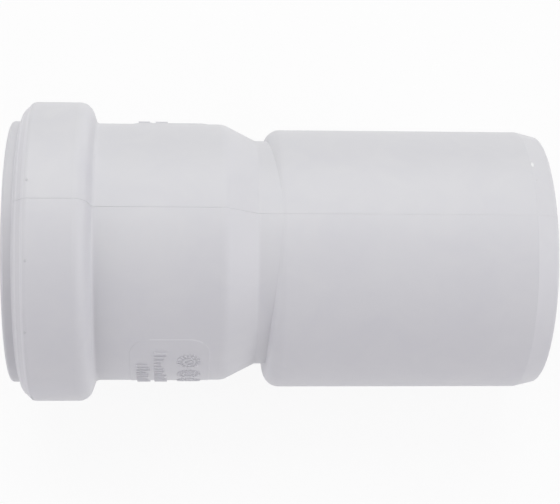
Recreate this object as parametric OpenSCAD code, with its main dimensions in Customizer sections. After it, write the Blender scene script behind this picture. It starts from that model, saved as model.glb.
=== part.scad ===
// Push-fit waste reducer: a one-piece moulding with a sealed socket for the small pipe at one end
// and a plain spigot of the large pipe's size at the other. The spigot is set off centre so that
// the two pipes run level along the top in this frame, which is the invert when it is fitted.
// The origin is on the socket's axis at the pipe stop, +X runs to the spigot's end and +Z to the
// level side. All lengths are in millimetres.

/* [Pipes] */
// Outside diameter of the pipe that pushes into the socket
small_pipe_d = 34.6; // [30:0.1:38]
// Outside diameter of the spigot, which is the large pipe's size
spigot_d = 41; // [39:0.1:48]

/* [Socket] */
// Diametral clearance of the socket on its pipe
socket_clearance = 0.5; // [0.3:0.05:0.8]
// Depth from the mouth to the pipe stop
socket_depth = 32.75; // [28:0.05:45]
// Wall of the socket behind the bead
socket_wall = 2.6; // [2:0.1:3.4]
// Width of the ledge that stops the pipe
stop_ledge = 0.6; // [0.4:0.1:1]

/* [Bead that houses the seal] */
// Length of the bead along the axis, at its foot
bead_len = 11.3; // [9.5:0.05:14]
// Wall of the bead around the seal chamber
bead_wall = 3.35; // [2.5:0.05:4.5]
// Wall between the seal chamber and the bead's rear face
bead_rear_wall = 2.7; // [2:0.1:3]
// Leg of the bevel on the bead's front edge
bead_bevel = 1.65; // [1:0.05:2.2]
// Radius of the bevel's two edges
bevel_round = 1.2; // [0.5:0.1:2]
// Lean of the bead's rear face from square
rear_lean = 18; // [2:1:30]
// Radius of the bead's rear edge
bead_round = 2.2; // [1:0.1:3]
// Fillet where the bead's rear face meets the socket
bead_fillet = 0.6; // [0.3:0.1:1.2]
// Radial depth of the seal chamber, measured from the socket's bore
chamber_depth = 2.5; // [2.4:0.05:3]

/* [Shoulder and neck] */
// Slope of the shoulder against the axis
shoulder_angle = 27; // [20:1:36]
// Radius that rounds the socket into the shoulder
shoulder_round = 3; // [1:0.1:6]
// Radial drop from the socket to the neck
neck_drop = 2.55; // [2:0.05:3.5]
// Straight length of the neck, from the shoulder's foot to the spigot's step
neck_len = 1.6; // [1:0.1:5]
// Fillet between the shoulder and the neck
neck_fillet = 0.8; // [0.4:0.1:2]

/* [Spigot] */
// Length of the spigot, from its step to its end
spigot_len = 43.5; // [35:0.1:60]
// Wall of the spigot
spigot_wall = 2.3; // [1.8:0.1:3]
// Radius of the step's outer edge
step_round = 2.5; // [1:0.1:3]
// Bevel in the step's inner corner
core_bevel = 1.2; // [0.5:0.1:2]
// Length of the lead-in chamfer at the end
chamfer_len = 3.3; // [1:0.05:5]
// Radial depth of the lead-in chamfer
chamfer_depth = 0.8; // [0.3:0.05:1.2]
// Radius of the end's outer edge
end_round = 0.5; // [0.2:0.1:0.8]

/* [Retaining cap] */
// Thickness of the flange that shows as the collar at the mouth
flange_len = 1.75; // [1:0.05:2.5]
// Radial lap of the flange over the bead's front face
flange_lap = 0.35; // [0.25:0.05:1.5]
// Radius of the flange's front edge
flange_round = 0.5; // [0.2:0.1:0.8]
// Length of the skirt inside the seal chamber
skirt_len = 3; // [2:0.1:3.5]
// Bevel on the skirt's inner end
skirt_bevel = 0.4; // [0.2:0.1:0.8]
// Radial relief of the cap's bore, measured from the socket's bore
cap_relief = 0.3; // [0.25:0.05:0.5]
// Depth of the lead-in cone at the mouth
lead_len = 1.2; // [0.6:0.1:2]

/* [Lip seal] */
// Radial thickness of the heel that seats in the chamber
heel_thick = 1.15; // [0.9:0.05:1.4]
// Bevel on the heel's two outer edges
heel_bevel = 0.3; // [0.1:0.05:0.4]
// Radius of the nose that joins the heel and the lip
nose_round = 1; // [0.8:0.05:1.1]
// Half of the lip's thickness, which is also its tip radius
lip_half = 0.45; // [0.3:0.05:0.6]
// Distance of the lip's tip from the seal's inner end
lip_short = 1.2; // [0.8:0.1:2]

/* [Fits] */
// Radial clearance of the cap's skirt in the seal chamber
skirt_fit = 0.05; // [0.02:0.01:0.1]
// Gap along the axis on each side of the seal, and behind the flange
seat_gap = 0.05; // [0.02:0.01:0.2]
// Radial clearance of the seal's heel in the chamber
heel_fit = 0.1; // [0.05:0.01:0.2]
// Radial gap between the lip and its pipe
lip_gap = 0.05; // [0.04:0.01:0.1]
// Height by which the spigot stands proud of the neck on the level side
flush_step = 0.05; // [0.03:0.01:0.2]

/* [Hidden] */
$fn = 180;
// Overrun of a cut past the face that it opens
past = 1;

// Distance from a corner to where its round starts, where the outline turns by an angle
function round_run(radius, turn) = radius * tan(turn / 2);

// Socket, measured along X from the pipe stop
small_pipe_r = small_pipe_d / 2;
bore_r = small_pipe_r + socket_clearance / 2;
socket_r = bore_r + socket_wall;
mouth_x = -socket_depth;

// Bead and seal chamber
chamber_r = bore_r + chamber_depth;
bead_r = chamber_r + bead_wall;
bead_x = mouth_x + flange_len + seat_gap;
bead_end = bead_x + bead_len;
chamber_end = bead_end - bead_rear_wall;
bevel_run = round_run(bevel_round, 45);

// Rear face of the bead: its round and fillet shrink together where the face is too short for them
rear_turn = 90 - rear_lean;
rear_face = (bead_r - socket_r) / cos(rear_lean);
rear_flat = 0.05;
rear_fit = min(1, (rear_face - rear_flat) / round_run(bead_round + bead_fillet, rear_turn));
rear_round = rear_fit * bead_round;
rear_fillet = rear_fit * bead_fillet;
rear_top = bead_end - rear_face * sin(rear_lean);

// Shoulder and neck: the shoulder starts level with the pipe stop
slope = tan(shoulder_angle);
neck_r = socket_r - neck_drop;
neck_x = neck_drop / slope;
shoulder_run = round_run(shoulder_round, shoulder_angle);
fillet_run = round_run(neck_fillet, shoulder_angle);

// Spigot: the set-off brings it level with the neck on the +Z side, outside and inside
spigot_r = spigot_d / 2;
set_off = spigot_r - neck_r - flush_step;
step_x = neck_x + neck_len;
spigot_end = step_x + spigot_len;
spigot_bore_r = spigot_r - spigot_wall;
core_x = step_x + spigot_wall;
neck_bore_r = spigot_bore_r - set_off - flush_step;
inner_cone_len = (bore_r - stop_ledge - neck_bore_r) / slope;

// Retaining cap
flange_r = chamber_r + flange_lap;
skirt_r = chamber_r - skirt_fit;
skirt_end = bead_x + skirt_len;
cap_bore_r = bore_r + cap_relief;

// Lip seal, drawn as it lies on a fitted pipe
seal_x = skirt_end + seat_gap;
seal_end = chamber_end - seat_gap;
seal_r = chamber_r - heel_fit;
heel_r = seal_r - heel_thick;
nose = [seal_x + nose_round, seal_r - heel_bevel - nose_round];
tip = [seal_end - lip_short, small_pipe_r + lip_gap + lip_half];
along = (tip - nose) / norm(tip - nose);
side = lip_half * [-along.y, along.x];

// Turns an outline, drawn with x along the axis and y as the radius, about the socket's axis
module turned() {
    rotate([0, 90, 0])
        rotate_extrude()
            mirror([1, -1])
                children();
}

// Turns an outline about the spigot's axis
module turned_off_centre() {
    translate([0, 0, -set_off])
        turned()
            children();
}

module disc(centre, radius) {
    translate(centre)
        circle(radius);
}

// Bead, socket, shoulder and neck. Each rounded corner is cut straight and filled with a disc,
// and each fillet is filled straight and cut with a disc.
module socket_outline() {
    cone = [cos(shoulder_angle), -sin(shoulder_angle)];
    bevel = [cos(45), sin(45)];
    bevel_foot = [bead_x, bead_r - bead_bevel];
    bevel_top = [bead_x + bead_bevel, bead_r];
    rear = [sin(rear_lean), -cos(rear_lean)];
    round_start = rear_top - round_run(rear_round, rear_turn);
    fillet_end = bead_end + round_run(rear_fillet, rear_turn);
    difference() {
        union() {
            polygon([
                [bead_x, 0],
                [core_x, 0],
                [core_x, neck_r],
                [neck_x + fillet_run, neck_r],
                [neck_x, neck_r] - fillet_run * cone,
                [0, socket_r] + shoulder_run * cone,
                [-shoulder_run, socket_r],
                [fillet_end, socket_r],
                [bead_end, socket_r] - round_run(rear_fillet, rear_turn) * rear,
                [rear_top, bead_r] + round_run(rear_round, rear_turn) * rear,
                [round_start, bead_r],
                bevel_top + [bevel_run, 0],
                bevel_top - bevel_run * bevel,
                bevel_foot + bevel_run * bevel,
                bevel_foot - [0, bevel_run]
            ]);
            disc(bevel_foot + [bevel_round, -bevel_run], bevel_round);
            disc(bevel_top + [bevel_run, -bevel_round], bevel_round);
            disc([round_start, bead_r - rear_round], rear_round);
            disc([-shoulder_run, socket_r - shoulder_round], shoulder_round);
        }
        disc([fillet_end, socket_r + rear_fillet], rear_fillet);
        disc([neck_x + fillet_run, neck_r + neck_fillet], neck_fillet);
    }
}

// Seal chamber, pipe bore, stop ledge and the cone into the neck's bore
module socket_hollow() {
    polygon([
        [bead_x - past, 0],
        [core_x + core_bevel + past, 0],
        [core_x + core_bevel + past, neck_bore_r],
        [inner_cone_len, neck_bore_r],
        [0, bore_r - stop_ledge],
        [0, bore_r],
        [chamber_end, bore_r],
        [chamber_end, chamber_r],
        [bead_x - past, chamber_r]
    ]);
}

// Spigot with a rounded step, and a lead-in chamfer with a rounded edge at its end
module spigot_outline() {
    chamfer = [chamfer_len, -chamfer_depth] / norm([chamfer_len, chamfer_depth]);
    end_run = round_run(end_round, acos(-chamfer.y));
    end_edge = [spigot_end, spigot_r - chamfer_depth];
    polygon([
        [step_x, 0],
        [spigot_end, 0],
        end_edge - [0, end_run],
        end_edge - end_run * chamfer,
        [spigot_end - chamfer_len, spigot_r],
        [step_x + step_round, spigot_r],
        [step_x, spigot_r - step_round]
    ]);
    disc([step_x + step_round, spigot_r - step_round], step_round);
    disc(end_edge - [end_round, end_run], end_round);
}

// Bore of the spigot, closed by the step behind its bevelled corner
module spigot_hollow() {
    polygon([
        [core_x, 0],
        [spigot_end + past, 0],
        [spigot_end + past, spigot_bore_r],
        [core_x + core_bevel, spigot_bore_r],
        [core_x, spigot_bore_r - core_bevel]
    ]);
}

// Flange, skirt and lead-in cone of the cap
module cap_outline() {
    polygon([
        [mouth_x + lead_len, cap_bore_r],
        [skirt_end, cap_bore_r],
        [skirt_end, skirt_r - skirt_bevel],
        [skirt_end - skirt_bevel, skirt_r],
        [mouth_x + flange_len, skirt_r],
        [mouth_x + flange_len, flange_r],
        [mouth_x + flange_round, flange_r],
        [mouth_x, flange_r - flange_round],
        [mouth_x, cap_bore_r + lead_len]
    ]);
    disc([mouth_x + flange_round, flange_r - flange_round], flange_round);
}

// A heel against the chamber's wall, and a lip that trails inwards from a round nose
module seal_outline() {
    polygon([
        [seal_x, heel_r],
        [seal_end, heel_r],
        [seal_end, seal_r - heel_bevel],
        [seal_end - heel_bevel, seal_r],
        [seal_x + heel_bevel, seal_r],
        [seal_x, seal_r - heel_bevel]
    ]);
    disc(nose, nose_round);
    polygon([nose - side, tip - side, tip + side, nose + side]);
    disc(tip, lip_half);
}

// One white moulding: bead, socket, shoulder, neck and off-centre spigot
module reducer_body() {
    color([0.90, 0.90, 0.91])
        difference() {
            union() {
                turned() socket_outline();
                turned_off_centre() spigot_outline();
            }
            turned() socket_hollow();
            turned_off_centre() spigot_hollow();
        }
}

// White ring that closes the seal chamber
module retaining_cap() {
    color([0.88, 0.88, 0.90])
        turned() cap_outline();
}

// Black rubber ring
module lip_seal() {
    color([0.10, 0.10, 0.11])
        turned() seal_outline();
}

reducer_body();
retaining_cap();
lip_seal();
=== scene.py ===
import math

import bmesh
import bpy
from mathutils import Matrix, Vector


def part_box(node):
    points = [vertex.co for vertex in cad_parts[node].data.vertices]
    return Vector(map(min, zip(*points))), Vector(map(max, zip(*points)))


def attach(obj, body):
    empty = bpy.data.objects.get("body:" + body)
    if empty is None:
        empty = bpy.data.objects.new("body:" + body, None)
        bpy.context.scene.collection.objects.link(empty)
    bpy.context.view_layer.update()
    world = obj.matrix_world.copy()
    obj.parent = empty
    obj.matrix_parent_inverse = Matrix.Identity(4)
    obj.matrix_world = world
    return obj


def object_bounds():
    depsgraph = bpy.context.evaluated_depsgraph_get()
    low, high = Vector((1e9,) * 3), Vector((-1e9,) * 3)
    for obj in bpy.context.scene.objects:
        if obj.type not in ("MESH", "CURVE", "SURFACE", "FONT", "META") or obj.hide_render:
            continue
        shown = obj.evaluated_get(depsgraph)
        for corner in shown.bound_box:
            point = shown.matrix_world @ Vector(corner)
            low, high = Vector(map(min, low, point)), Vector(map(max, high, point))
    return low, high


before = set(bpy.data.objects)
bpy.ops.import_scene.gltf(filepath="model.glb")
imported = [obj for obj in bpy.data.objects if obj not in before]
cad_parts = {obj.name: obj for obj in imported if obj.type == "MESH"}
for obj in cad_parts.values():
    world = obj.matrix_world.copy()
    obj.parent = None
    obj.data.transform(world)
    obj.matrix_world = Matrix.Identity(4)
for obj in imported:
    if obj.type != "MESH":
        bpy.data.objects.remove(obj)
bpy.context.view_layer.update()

# Reducer body: one injection moulding in white polypropylene, a beaded socket for the small pipe and
# a plain off-centre spigot for the large one. A two-part steel mould makes it, and leaves it satin.
MM = 0.001
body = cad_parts["reducer_body"]
body_low, body_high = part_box("reducer_body")


def to_linear(hex_code):
    """Turns an sRGB hex colour into the linear RGBA of a shader's socket."""
    channels = [int(hex_code[i:i + 2], 16) / 255 for i in (1, 3, 5)]
    return [c / 12.92 if c <= 0.04045 else ((c + 0.055) / 1.055) ** 2.4 for c in channels] + [1.0]


def add_node(tree, kind, inputs=None, **settings):
    """Adds a node with its settings. An input is a plain value, or the socket that feeds it."""
    node = tree.nodes.new(kind)
    for name, value in settings.items():
        setattr(node, name, value)
    for name, value in (inputs or {}).items():
        if isinstance(value, bpy.types.NodeSocket):
            tree.links.new(value, node.inputs[name])
        else:
            node.inputs[name].default_value = value
    return node


# Polypropylene scatters light a little below its skin, so it looks soft and milky, with a broad, weak
# gloss. The melt leaves slow swirls a few millimetres wide, and the spark-eroded mould a fine even grain.
# The grain is really about 0.05 mm: it is drawn at 0.3 mm, or it would not show in the render.
GRAIN_WIDTH, GRAIN_DEPTH = 0.3 * MM, 0.02 * MM
SHEEN_SPREAD = 0.04


def moulded_polypropylene(name, light_hex, shade_hex, roughness, swirl=7 * MM):
    """Makes the plastic with its two swirl colours, and a swirl of the given width."""
    material = bpy.data.materials.new(name)
    material.use_nodes = True
    tree = material.node_tree
    tree.nodes.clear()
    place = add_node(tree, "ShaderNodeTexCoord").outputs["Object"]
    swirls = add_node(tree, "ShaderNodeTexNoise", {
        "Vector": place, "Scale": 1 / swirl, "Detail": 3.0, "Roughness": 0.55, "Distortion": 0.8})
    fine = add_node(tree, "ShaderNodeTexNoise", {
        "Vector": place, "Scale": 1 / GRAIN_WIDTH, "Detail": 2.0, "Roughness": 0.6})
    tone = add_node(tree, "ShaderNodeValToRGB", {"Fac": swirls.outputs["Fac"]})
    shade, light = tone.color_ramp.elements
    shade.position, light.position = 0.30, 0.70
    shade.color, light.color = to_linear(shade_hex), to_linear(light_hex)
    sheen = add_node(tree, "ShaderNodeMapRange", {
        "Value": fine.outputs["Fac"], "From Min": 0.3, "From Max": 0.7,
        "To Min": roughness - SHEEN_SPREAD, "To Max": roughness + SHEEN_SPREAD})
    relief = add_node(tree, "ShaderNodeBump", {
        "Height": fine.outputs["Fac"], "Strength": 0.25, "Distance": GRAIN_DEPTH})
    plastic = add_node(tree, "ShaderNodeBsdfPrincipled", {
        "Base Color": tone.outputs["Color"], "Roughness": sheen.outputs["Result"], "IOR": 1.49,
        "Normal": relief.outputs["Normal"]})
    add_node(tree, "ShaderNodeOutputMaterial", {"Surface": plastic.outputs["BSDF"]})
    return material


white_polypropylene = moulded_polypropylene(
    "moulded_polypropylene_white", "#D9D9DC", "#D6D6DA", 0.45)
body.data.materials[0] = white_polypropylene

# Parting line: the thin ridge of flash where the mould's two halves met, in the plane of both axes. It
# runs the body's length on the level side and on the stepped side, in the body's own plastic. It is
# uneven, and fades from the mouth to the spigot's end, where the mould shut tightest.
LINE_RADIUS, LINE_SUNK, LINE_SIDES = 0.075 * MM, 0.02 * MM, 8
LINE_NEAR, LINE_FAR, LINE_UNEVEN = 1.1, 0.5, 0.5  # times the radius
LINE_WAVE = 4 * MM
LINE_INSET, LINE_ASIDE, LINE_SPACING = 0.1 * MM, -0.11 * MM, 0.15 * MM
RAY_REACH = 100 * MM


def new_tree(name, sockets):
    """Starts a Geometry Nodes tree with named inputs. Gives back the tree and its inputs' sockets."""
    tree = bpy.data.node_groups.new(name, "GeometryNodeTree")
    for socket_name, kind in sockets.items():
        tree.interface.new_socket(name=socket_name, in_out="INPUT", socket_type="NodeSocket" + kind)
    tree.interface.new_socket(name="Geometry", in_out="OUTPUT", socket_type="NodeSocketGeometry")
    return tree, tree.nodes.new("NodeGroupInput").outputs


def finish_tree(tree, geometry, material):
    """Ends a tree: its instances are made real and it gets one material."""
    real = add_node(tree, "GeometryNodeRealizeInstances", {"Geometry": geometry})
    painted = add_node(tree, "GeometryNodeSetMaterial", {
        "Geometry": real.outputs["Geometry"], "Material": material})
    add_node(tree, "NodeGroupOutput", {"Geometry": painted.outputs["Geometry"]})


def grow_piece(name, tree, values):
    """Runs a tree once with the values of its named inputs, and keeps the result as a plain mesh."""
    piece = bpy.data.objects.new(name, bpy.data.meshes.new(name))
    bpy.context.scene.collection.objects.link(piece)
    modifier = piece.modifiers.new("grow", "NODES")
    modifier.node_group = tree
    for item in tree.interface.items_tree:
        if item.in_out == "INPUT":
            modifier[item.identifier] = values[item.name]
    graph = bpy.context.evaluated_depsgraph_get()
    grown = bpy.data.meshes.new_from_object(piece.evaluated_get(graph), depsgraph=graph)
    piece.modifiers.remove(modifier)
    piece.data = grown
    grown.name = name
    return piece


line_tree, line_in = new_tree("parting_line", {
    "Body": "Object", "Start": "Vector", "End": "Vector", "Inward": "Vector", "Points": "Int",
    "Radius": "Float", "Sunk": "Float", "Plastic": "Material"})
line_along = add_node(line_tree, "GeometryNodeSplineParameter")
line_fade = add_node(line_tree, "ShaderNodeMapRange", {
    "Value": line_along.outputs["Factor"],
    "To Min": LINE_NEAR - LINE_UNEVEN / 2, "To Max": LINE_FAR - LINE_UNEVEN / 2})
line_noise = add_node(line_tree, "ShaderNodeTexNoise", {
    "W": line_along.outputs["Length"], "Scale": 1 / LINE_WAVE, "Detail": 2.0}, noise_dimensions="1D")
line_scale = add_node(line_tree, "ShaderNodeMath", {
    0: line_noise.outputs["Fac"], 1: LINE_UNEVEN, 2: line_fade.outputs["Result"]},
    operation="MULTIPLY_ADD")
line_flight = add_node(line_tree, "GeometryNodeCurvePrimitiveLine", {
    "Start": line_in["Start"], "End": line_in["End"]})
line_points = add_node(line_tree, "GeometryNodeResampleCurve", {
    "Curve": line_flight.outputs["Curve"], "Count": line_in["Points"]}, mode="COUNT")
line_target = add_node(line_tree, "GeometryNodeObjectInfo", {"Object": line_in["Body"]})
line_hit = add_node(line_tree, "GeometryNodeRaycast", {
    "Target Geometry": line_target.outputs["Geometry"], "Ray Direction": line_in["Inward"],
    "Ray Length": RAY_REACH})
line_depth = add_node(line_tree, "ShaderNodeVectorMath", {
    0: line_in["Inward"], "Scale": line_in["Sunk"]}, operation="SCALE")
line_laid = add_node(line_tree, "GeometryNodeSetPosition", {
    "Geometry": line_points.outputs["Curve"], "Position": line_hit.outputs["Hit Position"],
    "Offset": line_depth.outputs["Vector"]})
line_round = add_node(line_tree, "GeometryNodeCurvePrimitiveCircle", {
    "Resolution": LINE_SIDES, "Radius": line_in["Radius"]}, mode="RADIUS")
line_ridge = add_node(line_tree, "GeometryNodeCurveToMesh", {
    "Curve": line_laid.outputs["Geometry"], "Profile Curve": line_round.outputs["Curve"],
    "Scale": line_scale.outputs["Value"], "Fill Caps": True})
finish_tree(line_tree, line_ridge.outputs["Mesh"], line_in["Plastic"])

for side_name, side in (("level", 1), ("stepped", -1)):
    above = side * 2 * body_high.z
    ridge = grow_piece("parting_line_" + side_name, line_tree, {
        "Body": body, "Plastic": white_polypropylene, "Radius": LINE_RADIUS, "Sunk": LINE_SUNK,
        "Inward": (0, 0, -side),
        "Start": (body_low.x + LINE_INSET, LINE_ASIDE, above),
        "End": (body_high.x - LINE_INSET, LINE_ASIDE, above),
        "Points": round((body_high.x - body_low.x) / LINE_SPACING)})
    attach(ridge, "fitting")

# Mould inserts: a changeable steel block in each half of the mould leaves a low rounded pad on the socket,
# with two columns of raised strokes, which say nothing, and a row of date dials with ticks and a hand.
# It is drawn flat, X along the socket and Y round it from the block's middle, then rolled onto the socket.
SOCKET_RADIUS = 20.15 * MM
INSERT_X, INSERT_SIZE, INSERT_ROUND = -8.2 * MM, (12.3 * MM, 21.6 * MM), 3.2 * MM
STROKE_WIDTH, STROKE_HEIGHT = 0.26 * MM, 0.23 * MM
STROKE_LENGTH, STROKE_PITCH, SHORTEST_STROKE = 2.05 * MM, 0.95 * MM, 0.45
STROKE_COLUMNS = ((-5.03 * MM, 4.6 * MM, 14), (-2.37 * MM, 7.8 * MM, 17))  # left end, top, strokes
DIAL_PLACE, DIAL_PITCH, DIAL_SEED = (2.9 * MM, 5.45 * MM, -0.05 * MM), (0, -4.5 * MM, 0), 5
TICK_COUNT, TICK_RADIUS, TICK_LENGTH = 16, 1.3 * MM, 0.5 * MM
HUB_RADIUS, HUB_SIDES = 0.85 * MM, 36
HAND_X, HAND_Y = 0.45 * MM, 0.25 * MM

marks_tree, marks_in = new_tree("insert_marks", {
    "Facing": "Float", "Lift": "Float", "Dials": "Int", "Plastic": "Material"})


def join(*parts):
    """Joins the geometry of several sockets."""
    joined = add_node(marks_tree, "GeometryNodeJoinGeometry")
    for part in parts:
        marks_tree.links.new(part, joined.inputs["Geometry"])
    return joined.outputs["Geometry"]


stroke = add_node(marks_tree, "GeometryNodeCurvePrimitiveLine", {"End": (STROKE_LENGTH, 0, 0)})
columns = []
for seed, (column_x, column_top, count) in enumerate(STROKE_COLUMNS):
    rungs = add_node(marks_tree, "GeometryNodeMeshLine", {
        "Count": count, "Start Location": (column_x, column_top, 0),
        "Offset": (0, -STROKE_PITCH, 0)}, mode="OFFSET")
    shorter = add_node(marks_tree, "FunctionNodeRandomValue", {
        "Min": (SHORTEST_STROKE, 1, 1), "Max": (1, 1, 1), "Seed": seed}, data_type="FLOAT_VECTOR")
    column = add_node(marks_tree, "GeometryNodeInstanceOnPoints", {
        "Points": rungs.outputs["Mesh"], "Instance": stroke.outputs["Curve"],
        "Scale": shorter.outputs["Value"]})
    columns.append(column.outputs["Instances"])

dial_hub = add_node(marks_tree, "GeometryNodeCurvePrimitiveCircle", {
    "Resolution": HUB_SIDES, "Radius": HUB_RADIUS}, mode="RADIUS")
hours = add_node(marks_tree, "GeometryNodeMeshCircle", {"Vertices": TICK_COUNT, "Radius": TICK_RADIUS})
hour_place = add_node(marks_tree, "GeometryNodeInputPosition")
outward = add_node(marks_tree, "FunctionNodeAlignRotationToVector", {
    "Vector": hour_place.outputs["Position"]}, axis="X")
tick = add_node(marks_tree, "GeometryNodeCurvePrimitiveLine", {"End": (TICK_LENGTH, 0, 0)})
ticks = add_node(marks_tree, "GeometryNodeInstanceOnPoints", {
    "Points": hours.outputs["Mesh"], "Instance": tick.outputs["Curve"],
    "Rotation": outward.outputs["Rotation"]})
hand = add_node(marks_tree, "GeometryNodeCurvePrimitiveLine", {
    "Start": (-HAND_X, -HAND_Y, 0), "End": (HAND_X, HAND_Y, 0)})
dial = join(dial_hub.outputs["Curve"], ticks.outputs["Instances"], hand.outputs["Curve"])
dial_places = add_node(marks_tree, "GeometryNodeMeshLine", {
    "Count": marks_in["Dials"], "Start Location": DIAL_PLACE, "Offset": DIAL_PITCH}, mode="OFFSET")
dial_turns = add_node(marks_tree, "FunctionNodeRandomValue", {
    "Min": (0, 0, 0), "Max": (0, 0, math.tau), "Seed": DIAL_SEED}, data_type="FLOAT_VECTOR")
dials = add_node(marks_tree, "GeometryNodeInstanceOnPoints", {
    "Points": dial_places.outputs["Mesh"], "Instance": dial, "Rotation": dial_turns.outputs["Value"]})
strokes = add_node(marks_tree, "GeometryNodeRealizeInstances", {
    "Geometry": join(*columns, dials.outputs["Instances"])})

upright = add_node(marks_tree, "GeometryNodeSetCurveNormal", {
    "Curve": strokes.outputs["Geometry"]}, mode="Z_UP")
bar = add_node(marks_tree, "GeometryNodeCurvePrimitiveQuadrilateral", {
    "Width": STROKE_WIDTH, "Height": 2 * STROKE_HEIGHT})
round_bar = add_node(marks_tree, "GeometryNodeFilletCurve", {
    "Curve": bar.outputs["Curve"], "Radius": STROKE_WIDTH / 4, "Count": 2}, mode="POLY")
flat_marks = add_node(marks_tree, "GeometryNodeCurveToMesh", {
    "Curve": upright.outputs["Curve"], "Profile Curve": round_bar.outputs["Curve"], "Fill Caps": True})
flat_place = add_node(marks_tree, "ShaderNodeSeparateXYZ", {
    "Vector": add_node(marks_tree, "GeometryNodeInputPosition").outputs["Position"]})
roll_turn = add_node(marks_tree, "ShaderNodeMath", {
    0: flat_place.outputs["Y"], 1: -1 / SOCKET_RADIUS, 2: marks_in["Facing"]}, operation="MULTIPLY_ADD")
roll_lift = add_node(marks_tree, "ShaderNodeMath", {
    0: flat_place.outputs["Z"], 1: marks_in["Lift"]}, operation="ADD")
roll_radius = add_node(marks_tree, "ShaderNodeMath", {
    0: roll_lift.outputs["Value"], 1: SOCKET_RADIUS}, operation="ADD")
roll_place = add_node(marks_tree, "ShaderNodeCombineXYZ", {
    "X": flat_place.outputs["X"], "Y": roll_radius.outputs["Value"]})
rolled = add_node(marks_tree, "ShaderNodeVectorRotate", {
    "Vector": roll_place.outputs["Vector"], "Angle": roll_turn.outputs["Value"]},
    rotation_type="X_AXIS")
laid_marks = add_node(marks_tree, "GeometryNodeSetPosition", {
    "Geometry": flat_marks.outputs["Mesh"], "Position": rolled.outputs["Vector"],
    "Offset": (INSERT_X, 0, 0)})
finish_tree(marks_tree, laid_marks.outputs["Geometry"], marks_in["Plastic"])

# Painted highlight: the pad's sloped edge along its top and round one corner is given a plastic a little
# paler and duller than the body's, to paint in the light that this edge catches.
highlight_polypropylene = moulded_polypropylene("painted_highlight_polypropylene_white", "#DFDFE2", "#DCDCE0", 0.5)
PAD_SUNK, PAD_SKIN, PAD_CREASE = -0.2 * MM, -0.02 * MM, math.radians(5)
PAD_TURN = 10  # degrees between the rows of a corner
PAD_HALF_ROWS, HIGHLIGHT_ROWS = 12, 4


def lay_pad(name, facing, proud, edge):
    """Lays a rounded pad on the socket, in rows along X, with a sloped edge of the given width."""
    straight_x, straight_y = (size / 2 - INSERT_ROUND for size in INSERT_SIZE)
    rows = [(-straight_y, angle) for angle in range(0, 90, PAD_TURN)]
    rows += [(straight_y * (i / PAD_HALF_ROWS - 1), 90) for i in range(2 * PAD_HALF_ROWS + 1)]
    rows += [(straight_y, angle) for angle in range(90 + PAD_TURN, 180 + PAD_TURN, PAD_TURN)]
    levels = ((INSERT_ROUND, PAD_SUNK), (INSERT_ROUND, PAD_SKIN), (INSERT_ROUND - edge, proud))
    corners = []
    for row_y, angle in rows:
        across, along = math.sin(math.radians(angle)), math.cos(math.radians(angle))
        right = [(straight_x + size * across, row_y - size * along, SOCKET_RADIUS + rise)
                 for size, rise in levels]
        for x, y, radius in right + [(-x, y, radius) for x, y, radius in reversed(right)]:
            turned = facing - y / SOCKET_RADIUS
            corners.append((INSERT_X + x, radius * math.cos(turned), radius * math.sin(turned)))
    count = 2 * len(levels)
    faces = [(row + i, row + count + i, row + count + (i + 1) % count, row + (i + 1) % count)
             for row in range(0, len(corners) - count, count) for i in range(count)]
    last = len(corners) - count
    faces += [(0, 1, 4, 5), (1, 2, 3, 4)]
    faces += [(last + 5, last + 4, last + 1, last), (last + 4, last + 3, last + 2, last + 1)]
    mesh = bpy.data.meshes.new(name)
    mesh.from_pydata(corners, [], faces)
    mesh.shade_smooth()
    mesh.set_sharp_from_angle(angle=PAD_CREASE)
    mesh.materials.append(white_polypropylene)
    mesh.materials.append(highlight_polypropylene)
    # Painted highlight: the sloped edge of the top corner's rows on one side, and the top end's slope, take
    # the paler plastic.
    highlight_rows = range(len(rows) - 1 - HIGHLIGHT_ROWS, len(rows) - 1)
    for face in [row * count + 1 for row in highlight_rows] + [len(faces) - 1]:
        mesh.polygons[face].material_index = 1
    piece = bpy.data.objects.new(name, mesh)
    bpy.context.scene.collection.objects.link(piece)
    return piece


# The back half's block sits deeper in its mould, so its pad stands prouder and shows in the outline.
HALVES = (  # name, facing, pad's height, width of its sloped edge, dials
    ("front", math.pi, 0.05 * MM, 0.25 * MM, 3),
    ("back", 0.0, 0.15 * MM, 1.2 * MM, 2),
)
for half_name, facing, proud, edge, dial_count in HALVES:
    marks = grow_piece("insert_marks_" + half_name, marks_tree, {
        "Facing": facing, "Lift": proud, "Dials": dial_count, "Plastic": white_polypropylene})
    for piece in (marks, lay_pad("insert_pad_" + half_name, facing, proud, edge)):
        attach(piece, "fitting")

# Mouth lip: the thin rim that the mould leaves on the bead's front face, round the cap's flange, and the
# two crisp edges of the bead's bevel. They are part of the body's moulding, and are painted in the paler
# plastic too, as a painted highlight where these edges catch the light.
LIP_CLEAR, LIP_HEIGHT, LIP_LENGTH = 20.43 * MM, 0.36 * MM, 0.30 * MM
LIP_END = -30.90 * MM
EDGE_PLACE, EDGE_LEAN = (-30.48 * MM, 22.22 * MM), math.radians(45)
RIM_PLACE, RIM_LEAN = (-29.515 * MM, 23.14 * MM), math.radians(38)
EDGE_WIDTH, RIM_WIDTH, EDGE_HEIGHT = 0.34 * MM, 0.55 * MM, 0.06 * MM
RIM_POINTS, RIM_STEPS = 12, 240


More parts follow.
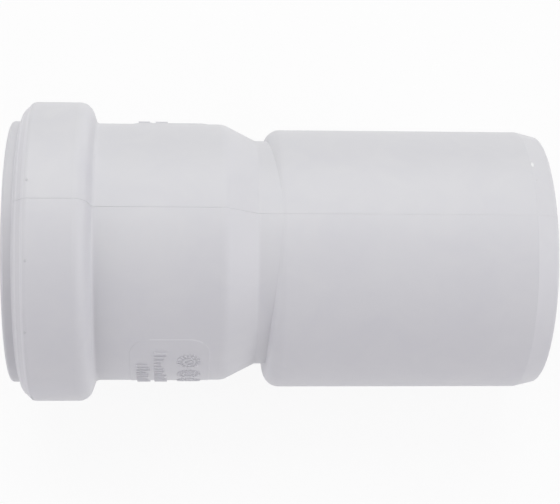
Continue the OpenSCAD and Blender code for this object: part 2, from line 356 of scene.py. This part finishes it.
def turned_piece(name, outline, steps, material):
    """Turns a closed outline of (x, radius) points about the X axis into a smooth mesh piece."""
    count = len(outline)
    turns = [step * math.tau / steps for step in range(steps)]
    corners = [(x, radius * math.cos(turn), radius * math.sin(turn))
               for turn in turns for x, radius in outline]
    faces = [(step * count + i, step * count + (i + 1) % count,
              (step + 1) % steps * count + (i + 1) % count, (step + 1) % steps * count + i)
             for step in range(steps) for i in range(count)]
    mesh = bpy.data.meshes.new(name)
    mesh.from_pydata(corners, [], faces)
    mesh.shade_smooth()
    mesh.materials.append(material)
    piece = bpy.data.objects.new(name, mesh)
    bpy.context.scene.collection.objects.link(piece)
    return piece


def oval(x, radius, lean, width, height):
    """Gives the outline of an oval rim, whose width leans up from the X axis."""
    turns = [math.tau * (i + 0.5) / RIM_POINTS for i in range(RIM_POINTS)]
    flat = [(-width / 2 * math.cos(turn), -height / 2 * math.sin(turn)) for turn in turns]
    return [(x + along * math.cos(lean) - across * math.sin(lean),
             radius + along * math.sin(lean) + across * math.cos(lean)) for along, across in flat]


for rim_name, rim_outline in (
        ("mouth_lip", oval(LIP_END - LIP_LENGTH / 2, LIP_CLEAR + LIP_HEIGHT / 2, 0,
                           LIP_LENGTH, LIP_HEIGHT)),
        ("bevel_front_edge", oval(*EDGE_PLACE, EDGE_LEAN, EDGE_WIDTH, EDGE_HEIGHT)),
        ("bevel_rear_edge", oval(*RIM_PLACE, RIM_LEAN, RIM_WIDTH, EDGE_HEIGHT))):
    # Painted highlight: the lip and both bevel edges take the paler plastic.
    rim = turned_piece(rim_name, rim_outline, RIM_STEPS, highlight_polypropylene)
    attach(rim, "fitting")

# Moulding pips and a nick: small low pimples at the mould's vents, painted a darker grey. Where the
# chamfer's edge has been knocked, the plastic is bruised up, and the bump is painted near white as a
# painted highlight where it catches the light.
pip_grey = moulded_polypropylene("grey_pip_polypropylene", "#CBCBCE", "#C7C7CB", 0.5)
painted_highlight_white = moulded_polypropylene("nick_highlight_polypropylene", "#F6F6F7", "#EFEFF1", 0.4)
SPIGOT_DROP = 2.85 * MM
PIP_SEGMENTS, PIP_RINGS = 16, 10
BRUISES = (  # place and half sizes in mm, plastic
    # The three pips on the bead are painted a darker grey.
    ((-28.84, -9.05, 21.55), (0.20, 0.24, 0.07), pip_grey),
    ((-29.10, -17.82, 15.07), (0.20, 0.24, 0.07), pip_grey),
    ((-28.86, 2.73, 23.22), (0.20, 0.24, 0.07), pip_grey),
    ((47.30, 5.90, 16.60), (0.24, 0.24, 0.10), white_polypropylene),
    # Painted highlight: the nick on the chamfer's edge is painted near white.
    ((47.05, 8.93, 15.50), (0.26, 0.50, 0.10), painted_highlight_white),
)
bruises_mesh = bpy.data.meshes.new("moulding_pips")
bruise_shape = bmesh.new()
for slot, (place, size, plastic) in enumerate(BRUISES):
    centre = Vector(place) * MM
    from_axis = Vector((0, centre.y, centre.z + (SPIGOT_DROP if centre.x > 0 else 0)))
    made = bmesh.ops.create_uvsphere(
        bruise_shape, u_segments=PIP_SEGMENTS, v_segments=PIP_RINGS, radius=1.0,
        matrix=Matrix.LocRotScale(centre, from_axis.to_track_quat("Z", "Y"), Vector(size) * MM))
    for face in {face for vert in made["verts"] for face in vert.link_faces}:
        face.material_index = slot
    bruises_mesh.materials.append(plastic)
bruise_shape.to_mesh(bruises_mesh)
bruise_shape.free()
bruises_mesh.shade_smooth()
bruises = bpy.data.objects.new("moulding_pips", bruises_mesh)
bpy.context.scene.collection.objects.link(bruises)
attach(bruises, "fitting")

# Retaining cap: a separate white ring, snapped into the socket's mouth over the seal. Only its flange
# shows, a little rounder and duller than the body, because it comes from another mould. Its plastic is set
# a little darker than the body's, which paints in part of the shade that the bead casts on the flange.
cap_tone_and_shade = moulded_polypropylene(
    "moulded_polypropylene_cap_painted_shade", "#D6D6D9", "#D2D2D6", 0.5, swirl=5 * MM)
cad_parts["retaining_cap"].data.materials[0] = cap_tone_and_shade

# Lip seal: a ring of black vulcanised rubber in the socket's chamber, behind the cap, with a lip that bears
# on the pipe. Moulded rubber is a dull deep grey, with a bloom of fine pale dust and hardly any gloss.
# Its grain is really about 0.05 mm: it is drawn at 0.25 mm, or it would not show in the render.
RUBBER_BLOOM, RUBBER_GRAIN = 2.5 * MM, 0.25 * MM
seal_rubber = bpy.data.materials.new("moulded_rubber_black")
seal_rubber.use_nodes = True
rubber_tree = seal_rubber.node_tree
rubber_tree.nodes.clear()
rubber_place = add_node(rubber_tree, "ShaderNodeTexCoord").outputs["Object"]
rubber_bloom = add_node(rubber_tree, "ShaderNodeTexNoise", {
    "Vector": rubber_place, "Scale": 1 / RUBBER_BLOOM, "Detail": 4.0, "Roughness": 0.65})
rubber_tone = add_node(rubber_tree, "ShaderNodeValToRGB", {"Fac": rubber_bloom.outputs["Fac"]})
rubber_dark, rubber_pale = rubber_tone.color_ramp.elements
rubber_dark.position, rubber_pale.position = 0.35, 0.75
rubber_dark.color, rubber_pale.color = to_linear("#232325"), to_linear("#333336")
rubber_grain = add_node(rubber_tree, "ShaderNodeTexNoise", {
    "Vector": rubber_place, "Scale": 1 / RUBBER_GRAIN, "Detail": 2.0})
rubber_relief = add_node(rubber_tree, "ShaderNodeBump", {
    "Height": rubber_grain.outputs["Fac"], "Strength": 0.3, "Distance": GRAIN_DEPTH})
rubber = add_node(rubber_tree, "ShaderNodeBsdfPrincipled", {
    "Base Color": rubber_tone.outputs["Color"], "Roughness": 0.68, "IOR": 1.52,
    "Normal": rubber_relief.outputs["Normal"]})
add_node(rubber_tree, "ShaderNodeOutputMaterial", {"Surface": rubber.outputs["BSDF"]})
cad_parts["lip_seal"].data.materials[0] = seal_rubber

# Floor: a wide sheet of white paper that the fitting lies on, dull and even. To the eye it is mostly plain
# white, with the rest left to the light, so that a faint shadow stays.
FLOOR_HALF, FLOOR_WHITE = 2.0, 0.9
floor_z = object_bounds()[0].z
floor_mesh = bpy.data.meshes.new("floor")
floor_mesh.from_pydata(
    [(-FLOOR_HALF, -FLOOR_HALF, floor_z), (FLOOR_HALF, -FLOOR_HALF, floor_z),
     (FLOOR_HALF, FLOOR_HALF, floor_z), (-FLOOR_HALF, FLOOR_HALF, floor_z)], [], [(0, 1, 2, 3)])
floor = bpy.data.objects.new("floor", floor_mesh)
bpy.context.scene.collection.objects.link(floor)
floor_sheet = bpy.data.materials.new("white_paper_sheet")
floor_sheet.use_nodes = True
floor_tree = floor_sheet.node_tree
floor_tree.nodes.clear()


def seen_as_background(tree):
    """Gives 1 where the eye sees the surface, straight, mirrored or through glass, else 0."""
    path = add_node(tree, "ShaderNodeLightPath").outputs
    seen = add_node(tree, "ShaderNodeMath", {
        0: path["Is Camera Ray"], 1: path["Is Glossy Ray"]}, operation="MAXIMUM")
    return add_node(tree, "ShaderNodeMath", {
        0: seen.outputs[0], 1: path["Is Transmission Ray"]}, operation="MAXIMUM").outputs[0]


floor_share = add_node(floor_tree, "ShaderNodeMath", {
    0: seen_as_background(floor_tree), 1: FLOOR_WHITE}, operation="MULTIPLY")
floor_lit = add_node(floor_tree, "ShaderNodeBsdfDiffuse", {"Color": to_linear("#F2F2F2")})
floor_white = add_node(floor_tree, "ShaderNodeEmission", {
    "Color": to_linear("#FFFFFF"), "Strength": 1.0})
floor_mix = add_node(floor_tree, "ShaderNodeMixShader", {
    0: floor_share.outputs[0], 1: floor_lit.outputs[0], 2: floor_white.outputs[0]})
add_node(floor_tree, "ShaderNodeOutputMaterial", {"Surface": floor_mix.outputs[0]})
floor_mesh.materials.append(floor_sheet)

# Light: a white tent round the fitting, with a large soft box behind it, one above each end and one low at
# each front corner. The boxes are daylight lamps, and the tent's cloth turns its light a little violet.
LAMP_AIM, LAMP_DISTANCE = Vector((9 * MM, 0, 0)), 0.6
SOFT_BOXES = {  # direction, width in m, power in W, tint
    "back_box": ((-0.040, 0.609, 0.792), 0.65, 2.33, "#FEFFFC"),
    "left_box": ((-0.693, -0.114, 0.712), 0.5, 0.40, "#FFFFFF"),
    "right_box": ((0.849, -0.173, 0.499), 0.5, 1.09, "#FFFFFF"),
    "front_left_box": ((-0.838, -0.537, 0.100), 0.5, 1.15, "#FCF9FF"),
    "front_right_box": ((0.797, -0.568, 0.206), 0.5, 0.71, "#FCF9FF"),
}
for lamp_name, (towards, width, power, tint) in SOFT_BOXES.items():
    lamp = bpy.data.lights.new(lamp_name, "AREA")
    lamp.shape, lamp.size, lamp.energy = "SQUARE", width, power
    lamp.color = to_linear(tint)[:3]
    holder = bpy.data.objects.new(lamp_name, lamp)
    holder.location = LAMP_AIM + Vector(towards).normalized() * LAMP_DISTANCE
    holder.rotation_euler = Vector(towards).to_track_quat("Z", "Y").to_euler()
    bpy.context.scene.collection.objects.link(holder)

tent = bpy.data.worlds.new("white_tent")
bpy.context.scene.world = tent
tent.use_nodes = True
tent.node_tree.nodes.clear()
tent_light = add_node(tent.node_tree, "ShaderNodeBackground", {
    "Color": to_linear("#FCF9FF"), "Strength": 0.29})
tent_white = add_node(tent.node_tree, "ShaderNodeBackground", {
    "Color": to_linear("#FFFFFF"), "Strength": 1.0})
tent_mix = add_node(tent.node_tree, "ShaderNodeMixShader", {
    0: seen_as_background(tent.node_tree), 1: tent_light.outputs[0], 2: tent_white.outputs[0]})
add_node(tent.node_tree, "ShaderNodeOutputWorld", {"Surface": tent_mix.outputs[0]})

# Camera: the photograph's, high in front of the fitting, found from the outline of the two round ends.
# It looks at a point on the socket's axis, a little from one side, and is tipped a fraction of a degree.
IMAGE_WIDTH, FOCAL_PIXELS, SENSOR_WIDTH = 560, 1600, 36.0
EYE_AIM, EYE_RAISED, EYE_FAR = Vector((9.189 * MM, 0, 0)), 0.055 * MM, 254.07 * MM
NEAREST, FARTHEST = 0.01, 10.0
turn, height, tip = math.radians(-3.854), math.radians(70.5), math.radians(0.22)
eye_up = Vector((0, math.sin(height), math.cos(height)))
eye_back = Vector((
    math.sin(turn), -math.cos(height) * math.cos(turn), math.sin(height) * math.cos(turn)))
eye_right = eye_up.cross(eye_back)
eye_right, eye_up = (eye_right * math.cos(tip) + eye_up * math.sin(tip),
                     eye_up * math.cos(tip) - eye_right * math.sin(tip))
camera = bpy.data.objects.new("camera", bpy.data.cameras.new("camera"))
camera.data.sensor_width = SENSOR_WIDTH
camera.data.lens = SENSOR_WIDTH * FOCAL_PIXELS / IMAGE_WIDTH
camera.data.clip_start, camera.data.clip_end = NEAREST, FARTHEST
eye_place = EYE_AIM + eye_up * EYE_RAISED + eye_back * EYE_FAR
eye_turn = Matrix((eye_right, eye_up, eye_back)).transposed().to_4x4()
camera.matrix_world = Matrix.Translation(eye_place) @ eye_turn
bpy.context.scene.collection.objects.link(camera)
bpy.context.scene.camera = camera
bpy.context.scene.view_settings.view_transform = "Standard"
